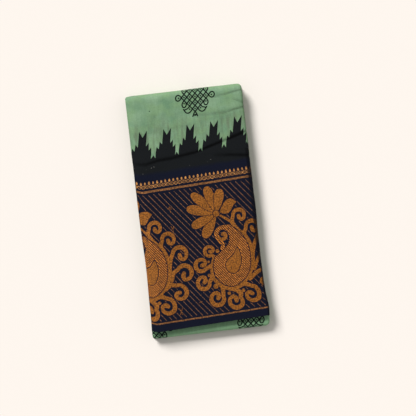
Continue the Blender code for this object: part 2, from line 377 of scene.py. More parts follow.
def cloth_data(flat):
    """u, v and how deep in a crease each point lies, for the materials, which paint shade into the creases.
    """
    u, v = flat.T
    creased = np.maximum(crease_depth(u, travel_at(u, v)), side_depth(u, v))
    return np.stack([u, v, creased / DEEP_CREASE], axis=-1)


def even_form(s, travel):
    x = np.interp(s, SECTION_S, SECTION_X)
    depth = np.interp(s, SECTION_S, SECTION_DEPTH)
    return place(x, travel, depth)


def on_cloth(u, v, lift=0.0):
    """Points in the object's frame, this many millimetres above the outermost cloth."""
    s = u * MM
    travel = travel_at(u, v)
    step = 0.0001
    across = even_form(s + step, travel) - even_form(s - step, travel)
    along = even_form(s, travel + step) - even_form(s, travel - step)
    normal = np.cross(across, along)
    normal /= np.linalg.norm(normal, axis=-1, keepdims=True)
    height = relief(u, v, travel) + lift * MM
    return even_form(s, travel) + normal * height[..., None]


# Meshes

def make_piece(name, points, faces, cloth, bake, look):
    """A piece with its cloth coordinates as an attribute and its own map for baking."""
    mesh = bpy.data.meshes.new(name)
    mesh.from_pydata(np.asarray(points).tolist(), [], [list(face) for face in faces])
    attribute = mesh.attributes.new("cloth", "FLOAT_VECTOR", "POINT")
    attribute.data.foreach_set("vector", np.array(cloth, np.float32).ravel())
    mesh.uv_layers.new(name="OFBake").data.foreach_set("uv", np.array(bake, np.float32).ravel())
    mesh.materials.append(look)
    mesh.validate()
    mesh.shade_smooth()
    mesh.set_sharp_from_angle(angle=math.radians(50))
    made = bpy.data.objects.new(name, mesh)
    bpy.context.scene.collection.objects.link(made)
    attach(made, "root")
    return made


def cells(rows, columns):
    """(row, column) of the corners of each cell of a grid."""
    row, column = np.mgrid[0:rows - 1, 0:columns - 1].reshape(2, -1, 1)
    return row + [0, 0, 1, 1], column + [0, 1, 1, 0]


def steps(start, end, size):
    """Evenly spaced values from start to end, about this far apart."""
    return np.linspace(start, end, max(2, round(abs(end - start) / size) + 1))


def cloth_columns(flat_step):
    """u of the columns of a stretch of the outermost cloth."""
    under = U_FLAT - 2 * (U_FLAT - U_EDGE)
    stretches = [
        steps(U_START, under, 2.5),
        steps(under, U_FLAT, 0.18),
        steps(U_FLAT, U_ROLL, flat_step),
        steps(U_ROLL, U_UNDER, 0.8),
        steps(U_UNDER, U_END, 3.0),
    ]
    return np.unique(np.round(np.concatenate(stretches), 5))


def cloth_shell(name, columns, rows, look):
    """A stretch of the outermost cloth as a thin closed shell."""
    u, v = np.meshgrid(columns, rows)
    points = np.concatenate([on_cloth(u, v, lift).reshape(-1, 3) for lift in (0.0, -CLOTH / MM)])
    ids = np.arange(u.size).reshape(u.shape)
    row, column = cells(*u.shape)
    outer = ids[row, column]
    loop = np.concatenate([ids[0, :-1], ids[:-1, -1], ids[-1, :0:-1], ids[:0:-1, 0]])
    after = np.roll(loop, -1)
    rim = np.stack([after, loop, loop + u.size, after + u.size], axis=-1)
    faces = np.concatenate([outer, outer[:, ::-1] + u.size, rim])
    high, wide = u.shape
    share = pairs(ids % wide / (wide - 1), ids // wide / (high - 1)).reshape(-1, 2)
    bake = np.concatenate([
        share[outer] * (0.99, 0.80) + 0.005,
        share[outer[:, ::-1]] * (0.99, 0.17) + (0.005, 0.825),
        share[rim % u.size] * (0.99, 0.80) + 0.005,
    ])
    cloth = cloth_data(pairs(u.ravel(), v.ravel()))
    return make_piece(name, points, faces, np.concatenate([cloth, cloth]), bake, look)


def overlay(name, flat, faces, look, lift=RAISED, slot="front_third"):
    """A thin layer woven in or printed on, with its edge turned down into the cloth."""
    flat = np.array(flat)
    border = {}
    for face in faces:
        for a, b in zip(face, face[1:] + face[:1]):
            if not border.pop((b, a), False):
                border[a, b] = True
    lowered = {}
    for a, b in border:
        for corner in (a, b):
            lowered.setdefault(corner, len(flat) + len(lowered))
    faces = faces + [[b, a, lowered[a], lowered[b]] for a, b in border]
    low = flat[list(lowered)]
    points = np.concatenate([on_cloth(*flat.T, lift), on_cloth(*low.T, -SUNK)])
    both = np.concatenate([flat, low])
    share = (both - flat.min(axis=0)) / np.ptp(flat, axis=0).max() * 0.98 + 0.01
    corners = [corner for face in faces for corner in face]
    return make_piece(name, points, faces, cloth_data(both), share[corners], look)


# Flat drawing, in millimetres

BARE, PLAIN, HATCHED = range(3)     # what a drawn shape leaves on the cloth


def spline(points, step=1.5, closed=False):
    """A smooth line through points, with a point about every step. Further columns are carried along."""
    points = np.asarray(points, float)
    if closed:
        points = np.concatenate([points[-1:], points, points[:2]])
    else:
        points = np.concatenate([2 * points[:1] - points[1:2], points, 2 * points[-1:] - points[-2:-1]])
    found = []
    for p0, p1, p2, p3 in zip(points, points[1:], points[2:], points[3:]):
        count = max(2, math.ceil(np.hypot(*(p2 - p1)[:2]) / step))
        for t in np.arange(count) / count:
            found.append(0.5 * (2 * p1 + (p2 - p0) * t + (2 * p0 - 5 * p1 + 4 * p2 - p3) * t**2
                                + (3 * p1 - p0 - 3 * p2 + p3) * t**3))
    if not closed:
        found.append(points[-2])
    return np.array(found)


def circle(centre, radius, count=12):
    angle = np.arange(count) * math.tau / count
    return pairs(centre[0] + radius * np.cos(angle), centre[1] + radius * np.sin(angle))


def doubled_area(polygon):
    """Twice the area of a polygon, negative where it runs clockwise."""
    x, y = polygon.T
    return np.sum(x * np.roll(y, -1) - y * np.roll(x, -1))


def band_sides(line, half):
    """The left and the right side of a line of some width."""
    tangent = np.gradient(line, axis=0)
    tangent /= np.linalg.norm(tangent, axis=1, keepdims=True)
    side = pairs(-tangent[:, 1], tangent[:, 0]) * np.broadcast_to(half, len(line))[:, None]
    return line + side, line - side


def band(line, half=None, grow=0.0, ends=True):
    """A line as triangles with round ends. Its third column is its half width, if none is given."""
    half = np.broadcast_to(line[:, 2] if half is None else half, len(line)) + grow
    left, right = band_sides(line[:, :2], half)
    found = []
    for i in range(len(line) - 1):
        found += [np.array([right[i], right[i + 1], left[i]]), np.array([right[i + 1], left[i + 1], left[i]])]
    found = [triangle for triangle in found if abs(doubled_area(triangle)) > 1e-3]
    if ends:
        found += [circle(line[0], half[0]), circle(line[-1], half[-1])]
    return found


def laid(paint, shapes):
    """Shapes with one paint, as (polygon, paint)."""
    return [(shape, paint) for shape in shapes]


def painted(shapes, lines_u, lines_v, wanted=PLAIN):
    """(points, triangles) of what shows in one paint, cut along lines of even u and v.

    Shapes are (polygon, paint), each laid over those before it.
    """
    low, high = np.array([lines_u[0], lines_v[0]]), np.array([lines_u[-1], lines_v[-1]])
    shapes = [(polygon, paint) for polygon, paint in shapes
              if (polygon.max(axis=0) > low).all() and (polygon.min(axis=0) < high).all()]
    points, edges = [], []
    for polygon, _ in shapes:
        ids = np.arange(len(polygon)) + len(points)
        edges += zip(ids.tolist(), np.roll(ids, -1).tolist())
        points += polygon.tolist()
    cuts = [((u, low[1] - 1), (u, high[1] + 1)) for u in lines_u]
    cuts += [((low[0] - 1, v), (high[0] + 1, v)) for v in lines_v]
    for cut in cuts:
        edges.append((len(points), len(points) + 1))
        points += cut
    out, _, triangles, *_ = delaunay_2d_cdt([Vector(point) for point in points], edges, [], 0, 1e-4, False)
    flat, triangles = np.array([tuple(point) for point in out]), np.array(triangles)
    middles = flat[triangles].mean(axis=1)
    top = np.full(len(triangles), BARE)
    for polygon, paint in shapes:
        top[covered(middles, [polygon])] = paint
    shown = (top == wanted) & ((middles > low) & (middles < high)).all(axis=1)
    used, numbered = np.unique(triangles[shown], return_inverse=True)
    return flat[used], numbered.reshape(-1, 3).tolist()


def covered(points, polygons):
    """Which points lie in any of the polygons."""
    found = np.zeros(len(points), bool)
    for polygon in polygons:
        near = np.flatnonzero(((points > polygon.min(axis=0)) & (points < polygon.max(axis=0))).all(axis=1))
        if not len(near):
            continue
        x, y = points[near].T
        x1, y1 = polygon.T[:, :, None]
        x2, y2 = np.roll(polygon, -1, axis=0).T[:, :, None]
        with np.errstate(divide="ignore", invalid="ignore"):
            at = x1 + (y - y1) * (x2 - x1) / (y2 - y1)
        crossed = ((y1 > y) != (y2 > y)) & (x < at)
        found[near] |= crossed.sum(axis=0) % 2 == 1
    return found


def shown_parts(line, shown, least, pitch):
    """The stretches of a line that show and have more points than the least, thinned to one in each pitch."""
    edges = np.flatnonzero(np.diff(np.concatenate([[0], shown.astype(int), [0]])))
    found = []
    for first, last in zip(edges[::2], edges[1::2] - 1):
        if last - first > least:
            count = max(2, round((last - first) / pitch) + 1)
            found.append(line[np.linspace(first, last, count).round().astype(int)])
    return found


def lines_over(size, low=-math.inf, high=math.inf):
    """Lines of even u to cut an overlay along: this far apart, and closer where the cloth rolls or turns."""
    found = [steps(U_EDGE - 0.6, U_FLAT, 0.3), steps(U_FLAT, U_ROLL, size), steps(U_ROLL, U_UNDER, 0.8)]
    found = np.unique(np.round(np.concatenate(found), 5))
    return found[(found >= low) & (found <= high)]


# The paisley repeat, drawn from the middle of its flower, u to the right and v up

VINE = spline((
    # u, v, half width
    (6, -3.8, 1.7), (20.3, -14.5, 2.2), (32, -29.5, 2.6), (43.5, -43.5, 3.0), (48.5, -61.5, 3.2),
    (48.5, -81, 3.1), (41, -99, 2.8), (28.5, -112.5, 2.7), (14, -118.5, 2.5), (-0.5, -115.5, 2.6),
    (-12, -106, 2.4), (-17, -90.5, 2.2), (-14, -74, 2.2), (-10, -66.5, 1.8),
), 2.5)
MANGO = spline((
    # u, v
    (7, -19.8), (17, -20.8), (27, -27), (37, -39), (43.5, -54), (45.4, -73),
    (41.5, -92.5), (32, -106), (15, -115), (-0.5, -110.5), (-10, -100), (-13.5, -84.5),
    (-9.5, -68.5), (1.5, -59.5), (12, -51), (16.3, -38.5), (12.5, -29.3), (5, -26.5),
), 2, closed=True)
DROP = spline((
    # u, v
    (27.1, -56.5), (30.4, -68), (30.6, -77), (25, -91), (16, -95.2),
    (8, -90), (6.2, -81), (10.5, -73.5), (20, -66),
), 2, closed=True)
DROP_TIP = ((26.2, -55.5), (27.2, -58.6), (28.2, -55.5), (27.2, -52.6))
NECK = spline((
    # u, v, half width
    (17, -23, 3.6), (7, -23, 3.4), (0.2, -25.8, 3.5), (-2.9, -31, 3.6),
    (-2, -37, 3.4), (2, -44, 3.0), (5, -50, 3.0), (3.7, -55, 2.9),
), 2)
IN_MANGO = 6            # points of the neck that lie in the mango
SNAIL = (
    # u, v, half width
    (1.6, -39, 3.2), (7.6, -40.4, 3.1), (11, -36.2, 2.7), (8.8, -32, 2.6), (5.8, -33.6, 2.3),
)
SNAIL_LINE = (
    # u, v, half width
    (6.4, -36.9, 0.9), (3.2, -36.8, 1.0), (1.1, -32.6, 1.1), (3.2, -28.3, 1.1),
    (7.3, -27, 1.1), (11.7, -29.5, 1.1), (14.5, -34.2, 1.1), (15.4, -40, 1.2),
)
SIDE_PETAL = spline((
    # u, v
    (6, 2), (12, 13), (18, 19.3), (24.5, 20.6), (29.5, 17.8),
    (32.6, 14.4), (27.5, 9.5), (23.5, 3), (18, -1.6), (11, -1.2),
), 2, closed=True)
FLOWER_HEART = 4.9      # radius
PETALS = (
    # angle, length, width
    (237.2, 42.4, 15.4), (202.9, 43.2, 14.8), (164.0, 46.7, 15.2),
    (134.6, 49.7, 14.6), (104.5, 45.1, 15.0), (75.0, 38.8, 15.2),
)
CURLS = (
    # u, v of the middle, outer radius, half width, start angle, winding, how far out it starts, its way there
    (-17.6, -57.3, 10.0, 2.9, -65, 1.24, 0, ((-9.5, -67.5),)),
    (-32.5, -77.8, 12.4, 3.4, -40, 1.24, 0, ((-16.5, -80),)),
    (-31.5, -105.4, 12.8, 3.5, 5, 1.25, 0, ((-16.5, -97),)),
    (-13, -132.3, 13.3, 3.6, 20, 1.26, 0, ((-10, -103.5), (-3.5, -114.5))),
    (14.6, -139.6, 13.2, 3.6, 40, 1.26, 0, ((6.5, -117.5), (16.5, -121), (23.5, -127.5))),
    (42, -130.8, 13.3, 3.6, 95, 1.24, 0.38, ((21, -116.5), (30, -113.4))),
    (33.9, -6.2, 11.8, 3.2, 185, 1.06, 0, ((27, -24), (23, -15))),
    (52.2, -26.2, 12.4, 3.3, 190, 1.08, 0, ((40.5, -41), (40, -34))),
)
OUTER_CURLS = (
    # The three to the right of the mango, cut by the rolled side on the first repeat and whole on the second
    (
        (68.3, -46.5, 13.8, 3.3, 174, 1.02, 0, ((49, -71), (51.8, -59))),
        (72.5, -72.0, 14.2, 2.7, 168, 1.05, 0, ((49.8, -92), (53.6, -83.5))),
        (65.6, -107.8, 12.9, 3.2, 118, 1.15, 0.52, ((41, -106.5), (49.5, -100))),
    ),
    (
        (67.3, -50.7, 14.0, 3.5, 170, 1.02, 0, ((49, -71), (51.5, -60))),
        (71.5, -80.4, 14.8, 3.6, 150, 1.05, 0, ((50.5, -90), (54, -80))),
        (62.6, -110.6, 12.9, 3.5, 115, 1.15, 0.38, ((39.5, -103), (48, -97.6))),
    ),
)
BEADS = (
    # u, v, radius
    (-4.6, -58.3, 3.0), (-20.2, -73.4, 1.9), (-21.8, -94.2, 2.6),
    (-13.5, -112.5, 3.9), (5.8, -125.5, 2.7), (28.2, -123.4, 2.8),
)
PIERCED = 2             # the bead with a dark middle
PIERCE = 0.9            # and the radius of that middle
CURL_FORM = (
    # degrees turned, then reach and half width as shares of the curl's own
    (0, 1.00, 0.82), (25, 0.99, 0.87), (65, 0.99, 0.93), (110, 1.01, 0.97), (155, 1.04, 0.88),
    (195, 1.06, 0.80), (225, 1.00, 0.80), (243, 0.72, 0.90), (252, 0.42, 0.98), (256, 0.12, 0.84),
)
LINE = 1.0              # dark line round the shapes that lie on others
HALO = 1.5              # how far the pinstripes keep off the motif
HATCH_PITCH = 3.46
HATCH_HALF = 0.68
HATCH_SLOPE = math.radians(51.5)


def petal(angle, length, width, grow=0.0):
    """A petal from the middle of the flower, broadest at two thirds of its length."""
    t = np.concatenate([np.linspace(0.10, 0.9, 13), [0.95, 0.98, 1.0]])
    half = width / 2 * (t / 0.68) ** 0.95 * ((1 - t) / 0.32) ** 0.45 + grow * np.clip(8 * t, 0, 1)
    angle = math.radians(angle)
    along = (t * (length + grow))[:, None] * np.array([math.cos(angle), math.sin(angle)])
    aside = half[:, None] * np.array([-math.sin(angle), math.cos(angle)])
    return np.concatenate([along - aside, (along + aside)[::-1][1 if grow == 0 else 0:]])


def curl_shapes(middle_u, middle_v, radius, half, start, winding, rise, way, grow):
    """A curl: its way from the vine, then a spiral that tightens clockwise to a round end."""
    turned, reach, wide = np.array(CURL_FORM).T * [[winding], [1], [1]]
    reach = (radius - half) * (reach + rise * np.clip(1 - turned / 80, 0, 1))
    angle = np.radians(start - turned)
    spiral = [middle_u + reach * np.cos(angle), middle_v + reach * np.sin(angle), half * wide]
    stem = [(u, v, half) for u, v in way]
    return band(spline(np.concatenate([stem, np.stack(spiral, axis=-1)]), 1.3), grow=grow)


def swollen(polygon, grow):
    """A polygon pushed out by this much, run counter-clockwise."""
    if doubled_area(polygon) < 0:
        polygon = polygon[::-1]
    ahead = np.roll(polygon, -1, axis=0) - np.roll(polygon, 1, axis=0)
    ahead /= np.linalg.norm(ahead, axis=1, keepdims=True) + 1e-9
    return polygon + grow * pairs(ahead[:, 1], -ahead[:, 0])


def plain_shapes(repeat, grow=0.0):
    """Vine, curls and beads, which run into each other with no line between."""
    found = band(VINE, grow=grow)
    for row in CURLS + OUTER_CURLS[repeat]:
        found += curl_shapes(*row, grow)
    return found + [circle((u, v), radius + grow) for u, v, radius in BEADS]


def flower_shapes(grow=0.0):
    return [petal(*row, grow) for row in PETALS] + [swollen(SIDE_PETAL, grow)]


def slanting(start_u, start_v, slope, length, skew=0.0):
    """A straight line down to the right, as points half a millimetre apart."""
    ahead = np.array([math.cos(slope), -math.sin(slope) - skew * math.cos(slope)])
    return np.array([start_u, start_v]) + np.arange(0, length, 0.5)[:, None] * ahead


def hatch_shapes():
    """Dark slanting lines in the mango and its neck, clear of what lies on them."""
    body = [swollen(MANGO, 0.3)] + band(NECK, grow=-0.3)
    clear = [swollen(DROP, 2.0)] + band(spline(SNAIL, 2))
    found = []
    for start in np.arange(-100, 70, HATCH_PITCH):
        line = slanting(start, -12, HATCH_SLOPE, 140)
        for part in shown_parts(line, covered(line, body) & ~covered(line, clear), 3, 10):
            found += band(part, HATCH_HALF, ends=False)
    return found


def motif_shapes(repeat):
    """Shapes of one paisley repeat in the order they are laid, as (polygon, paint)."""
    shapes = laid(PLAIN, plain_shapes(repeat))
    for lined, shape in zip(flower_shapes(LINE * 0.9), flower_shapes()):
        shapes += [(lined, BARE), (shape, PLAIN)]
    shapes += [(circle((0, 0), FLOWER_HEART + LINE, 16), BARE), (circle((0, 0), FLOWER_HEART, 16), PLAIN)]
    shapes += [(swollen(MANGO, LINE * 1.3), BARE), (MANGO, HATCHED)]
    shapes += laid(BARE, band(NECK[IN_MANGO:], grow=LINE * 0.8)) + laid(HATCHED, band(NECK))
    shapes += laid(BARE, hatch_shapes())
    shapes += [(swollen(DROP, LINE * 1.5), BARE), (DROP, PLAIN), (np.array(DROP_TIP), BARE)]
    shapes += laid(PLAIN, band(spline(SNAIL))) + laid(BARE, band(spline(SNAIL_LINE)))
    return shapes + [(circle(BEADS[PIERCED], PIERCE, 8), BARE)]


def mask_shapes(repeat):
    """What the pinstripes stop short of, round one repeat."""
    found = plain_shapes(repeat, HALO) + flower_shapes(HALO)
    return found + [swollen(MANGO, HALO)] + band(NECK, grow=HALO)


def on_border(shape, repeat):
    """A motif shape in u and v of the cloth. The motif stands upright though the weft lies a little askew."""
    u, v = shape.T
    return pairs(u + FLOWER_U - repeat * MOTIF_REPEAT, v + FLOWER_V - SKEW * u)


# Materials

class Look:
    """A material of the cloth, with short ways to add its nodes."""

    def __init__(self, name, roughness, metallic=0.0, specular=0.25, sheen=0.0):
        self.material = bpy.data.materials.new(name)
        self.material.use_nodes = True
        self.tree = self.material.node_tree
        self.shader = self.tree.nodes["Principled BSDF"]
        names = ("Roughness", "Metallic", "Specular IOR Level", "Sheen Weight", "Sheen Roughness")
        for key, value in zip(names, (roughness, metallic, specular, sheen, 0.6)):
            self.set(self.shader.inputs[key], value)
        self.cloth = self.add("ShaderNodeAttribute", attribute_name="cloth").outputs["Vector"]
        self.u, self.v, self.crease = self.add("ShaderNodeSeparateXYZ", {"Vector": self.cloth}).outputs

    def add(self, kind, inputs=None, **settings):
        node = self.tree.nodes.new(kind)
        for name, value in settings.items():
            setattr(node, name, value)
        for key, value in (inputs or {}).items():
            self.set(node.inputs[key], value)
        return node

    def set(self, socket, value):
        if isinstance(value, bpy.types.NodeSocket):
            self.tree.links.new(value, socket)
        else:
            socket.default_value = value

    def math(self, operation, *values):
        return self.add("ShaderNodeMath", dict(enumerate(values)), operation=operation).outputs[0]

    def plus(self, first, second):
        return self.math("ADD", first, second)

    def times(self, first, second):
        return self.math("MULTIPLY", first, second)

    def noise(self, across, along, detail=2.0):
        """Noise with features about this many millimetres across and along the cloth."""
        share = (1 / across, 1 / along, 1)
        scaled = self.add("ShaderNodeVectorMath", {0: self.cloth, 1: share}, operation="MULTIPLY")
        inputs = {"Vector": scaled.outputs[0], "Scale": 1.0, "Detail": detail}
        return self.add("ShaderNodeTexNoise", inputs).outputs["Fac"]

    def between(self, value, low, high):
        """0 below low, 1 above high, and even between."""
        inputs = {"Value": value, "From Min": low, "From Max": high}
        return self.add("ShaderNodeMapRange", inputs).outputs["Result"]

    def mix(self, share, first, second):
        """The first colour where share is 0, and the second where it is 1."""
        node = self.add("ShaderNodeMix", data_type="RGBA")
        self.set(node.inputs[0], share)
        for socket, value in ((node.inputs[6], first), (node.inputs[7], second)):
            self.set(socket, value if isinstance(value, bpy.types.NodeSocket) else (*value, 1.0))
        return node.outputs[2]

    def shade(self, colour, value, low, high):
        """A colour times low where value is 0, and times high where it is 1."""
        factor = self.add("ShaderNodeMapRange", {"Value": value, "To Min": low, "To Max": high})
        node = self.add("ShaderNodeVectorMath", {0: colour}, operation="SCALE")
        self.set(node.inputs["Scale"], factor.outputs["Result"])
        return node.outputs[0]

    def mottle(self, colour, size, low, high):
        """A colour times low to high in patches of noise of this size."""
        return self.shade(colour, self.between(self.noise(*size), 0.3, 0.7), low, high)

    def weave(self, pitch):
        """Height of a plain weave with threads this far apart."""
        across, along = [self.math("SINE", self.times(way, math.tau / pitch)) for way in (self.u, self.v)]
        return self.times(across, along)

    def finish(self, colour, height, depth):
        """Sets the colour, with painted shade in the creases, and the bump, with its depth in millimetres."""
        bumped = self.add("ShaderNodeBump", {"Height": height, "Strength": 1.0, "Distance": depth * MM})
        self.set(self.shader.inputs["Base Color"], self.shade(colour, self.crease, 1.0, 0.40))
        self.set(self.shader.inputs["Normal"], bumped.outputs["Normal"])
        return self.material


# Colours, as linear red, green and blue
GREEN_PALE = (0.230, 0.360, 0.222)
GREEN_DEEP = (0.148, 0.270, 0.156)
GREEN_WARM = (0.195, 0.322, 0.160)
GREEN_DULL = (0.150, 0.215, 0.130)
# A lighter green, as painted light on the tucked strip
GREEN_PAINTED_LIGHT = (0.246, 0.450, 0.244)
NAVY = (0.0058, 0.0076, 0.0180)
BLACK = (0.0086, 0.0098, 0.0110)
SELVEDGE = (0.0074, 0.0080, 0.0164)
COPPER = (0.222, 0.075, 0.0080)
ROSE_COPPER = (0.188, 0.076, 0.023)
PALE_COPPER = (0.390, 0.172, 0.045)
ROSE = (0.220, 0.092, 0.034)
INK = (0.0030, 0.0070, 0.0052)


def scaled(colour, share):
    return tuple(share * value for value in colour)


def cotton_height(look):
    """Bump of the cotton: fine threads, slubs and soft crumpling."""
    slub = look.plus(look.noise(9, 0.5), look.noise(0.5, 9))
    return look.plus(look.plus(look.weave(0.55), slub), look.times(look.noise(5, 6, 3), 3.0))


def cotton_green(look):
    """The green ground, unevenly dyed and stained above the temple points, and painted lighter where it is
    tucked in, as painted light against the shadow that the front third casts there.
    """
    patches = look.between(look.noise(34, 30, 3), 0.36, 0.66)
    colour = look.mix(patches, GREEN_DEEP, GREEN_PALE)
    warm = look.times(look.between(look.noise(20, 14), 0.42, 0.62), 0.6)
    colour = look.mix(warm, colour, GREEN_WARM)
    near_temples = look.times(look.between(look.v, 262, 285), look.between(look.v, 338, 312))
    stained = look.times(look.between(look.noise(5.5, 30, 3), 0.44, 0.70), near_temples)
    colour = look.mix(stained, colour, GREEN_DULL)
    # Painted light: the tucked strip is mixed towards a lighter green to lift it out of the shadow that the
    # front third casts on it.
    tucked = look.times(look.between(look.v, V_TUCK - 16, V_TUCK - 8), 0.75)
    colour = look.mix(tucked, colour, GREEN_PAINTED_LIGHT)
    colour = look.mottle(colour, (3.5, 22), 0.94, 1.05)
    return look.mottle(colour, (2.4, 2.0, 3), 0.91, 1.07)


def painted_roll_shade(look):
    """How much painted shade the rolled side gets: 0 on the flat of the front and 1 on its rolled side, which
    starts farther out near the selvedge.
    """
    farther = look.times(look.between(look.v, 105, 75), 3.0)
    return look.between(look.math("SUBTRACT", look.u, farther), U_ROLL - 2.3, U_ROLL - 0.6)


def border_ground(look, ground, roll_shaded):
    """Navy at the selvedge, then black, then the ground of the sari, with painted shade in the creases and on
    the rolled side.
    """
    edge = look.plus(look.v, look.times(look.noise(25, 25), 5.0))
    colour = look.mix(look.between(look.v, 2.0, 4.0), SELVEDGE, NAVY)
    colour = look.mix(look.between(edge, NAVY_ENDS, NAVY_ENDS + 6), colour, BLACK)
    colour = look.mottle(colour, (1.6, 1.2, 3), 0.80, 1.20)
    # Painted shade: darker in the creases and on the rolled side, which is turned from the light.
    colour = look.shade(look.shade(colour, look.crease, 1.0, 0.25), roll_shaded, 1.0, 0.55)
    return look.mix(look.between(look.v, BLACK_ENDS, BLACK_ENDS + 0.4), colour, ground)


def cotton(name, specular, sheen, colour_of):
    """A cotton whose colour is worked out by a function."""
    look = Look(name, roughness=0.86, specular=specular, sheen=sheen)
    return look.finish(colour_of(look), cotton_height(look), 0.05)


def front_colour(look):
    """The border's colours, then green, with painted shade on the rolled side."""
    return border_ground(look, cotton_green(look), painted_roll_shade(look))


def temple_black(look):
    """Black with fine specks, with painted shade in the creases."""
    specks = look.between(look.noise(1.6, 1.2, 3), 0.3, 0.7)
    colour = look.mix(specks, scaled(BLACK, 0.80), scaled(BLACK, 1.20))
    return look.shade(colour, look.crease, 1.0, 0.25)


def leaf_colour(look):
    """The folded layers: the border's colours cross their edges, with zari where a rule or a motif does."""
    colour = border_ground(look, look.shade(cotton_green(look), look.noise(60, 8), 0.75, 1.0), 0.0)
    in_motif = look.times(look.between(look.v, 24, 28), look.between(look.v, 214, 210))
    motif = look.times(look.between(look.noise(4, 9, 3), 0.52, 0.56), in_motif)
    from_rule = look.math("ABSOLUTE", look.math("SUBTRACT", look.v, UPPER_RULE[0]))
    zari_share = look.math("MAXIMUM", motif, look.math("LESS_THAN", from_rule, 1.6))
    return look.mix(zari_share, colour, scaled(COPPER, 0.3))


def zari(name, thread, bright=1.0, patchy=0.15):
    """Copper-coloured metal thread, woven in floats along the weft, with dull specks and bright specks that
    are partly painted glints. Where bright is above 1, it is painted light.
    """
    look = Look(name, roughness=0.50, metallic=0.30, specular=0.20)
    specks = look.between(look.noise(2.1, 1.7, 1), 0.36, 0.62)
    colour = look.mix(specks, scaled(thread, 0.45), scaled(thread, 1.65))
    rows = look.math("SINE", look.times(look.v, math.tau / 0.9))
    colour = look.shade(colour, look.between(rows, -1, 1), 0.86, 1.10)
    colour = look.mottle(colour, (9, 9, 2), 1 - patchy, 1 + patchy)
    # Painted shade: the thread is drawn much darker on the rolled side, which is turned from the light.
    colour = look.shade(colour, painted_roll_shade(look), bright, 0.14 * bright)
    return look.finish(colour, look.plus(rows, look.noise(1.0, 0.8, 2)), 0.06)


def print_ink():
    look = Look("print_ink", roughness=0.80, specular=0.10)
    worn = look.between(look.noise(1.6, 1.6, 3), 0.30, 0.70)
    return look.finish(look.mix(worn, INK, scaled(INK, 1.7)), cotton_height(look), 0.04)


def lint_fluff():
    look = Look("lint_fluff", roughness=0.9, specular=0.1, sheen=0.2)
    colour = look.mix(look.noise(1, 1), (0.11, 0.11, 0.10), (0.21, 0.20, 0.18))
    return look.finish(colour, look.noise(0.4, 0.4), 0.05)


# The folded layers inside

def leaf_wrap(inset):
    """(x, depth) from the left side over the top, round the rolled side and back below."""
    angle = np.linspace(0, math.pi, LEAF_ROLL_STEPS + 1)
    reach, rise = max(ROLL - inset, LEAF_BEND), THIRD / 2 - inset
    flat = np.array(LEAF_COLUMNS) * WIDTH / 2
    x = [flat, WIDTH / 2 - ROLL + reach * np.sin(angle).clip(0) ** (2 / ROLL_POWER), flat[::-1]]
    depth = [np.full(len(flat), inset), THIRD / 2 - rise * signed_power(np.cos(angle), 2 / ROLL_POWER)]
    depth.append(np.full(len(flat), THIRD - inset))
    return np.concatenate(x), np.concatenate(depth)


def leaf_outline(inset):
    """(x, depth, end) round a leaf's section. End is -1 on its upper left edge and 1 on its lower one."""
    outer_x, outer_depth = leaf_wrap(inset)
    inner_x, inner_depth = leaf_wrap(inset + LEAF_THICK)
    angle = np.linspace(0, math.pi, LEAF_END_STEPS + 2)[1:-1]
    half = LEAF_THICK / 2
    round_x = -WIDTH / 2 + half - half * np.sin(angle)
    x = np.concatenate([outer_x, round_x, inner_x[::-1], round_x])
    lower = THIRD - inset - half + half * np.cos(angle)
    upper = inset + half + half * np.cos(angle)
    depth = np.concatenate([outer_depth, lower, inner_depth[::-1], upper])
    plain, rounded = np.zeros(len(outer_x)), np.ones(len(round_x))
    return x, depth, np.concatenate([plain, rounded, plain, -rounded])


def leaf_rows(ring):
    """Travel of the stations of a leaf, from the front selvedge to the tucked end."""
    stretches = [
        steps(SELVEDGE_TRAVEL + LEAF_START[ring] * MM, 0, 0.007),
        steps(0, TOP_ARC, 0.0022),
        steps(TOP_ARC, BACK_END, 0.008),
        steps(BACK_END, TUCK_START, 0.0020),
        steps(TUCK_START, TUCK_END, 0.007),
    ]
    return np.unique(np.round(np.concatenate(stretches), 7))


def leaf_caps(count):
    """Faces that close an end of a leaf, as corners of the ring of points round its section."""
    bend = LEAF_END_STEPS + 1
    wrapped = count // 2 - LEAF_END_STEPS
    caps = [[i + 1, i, count - bend - i, count - bend - 1 - i] for i in range(wrapped - 1)]
    return caps + [[*range(wrapped - 1, wrapped + bend)][::-1], [*range(count - bend, count), 0][::-1]]


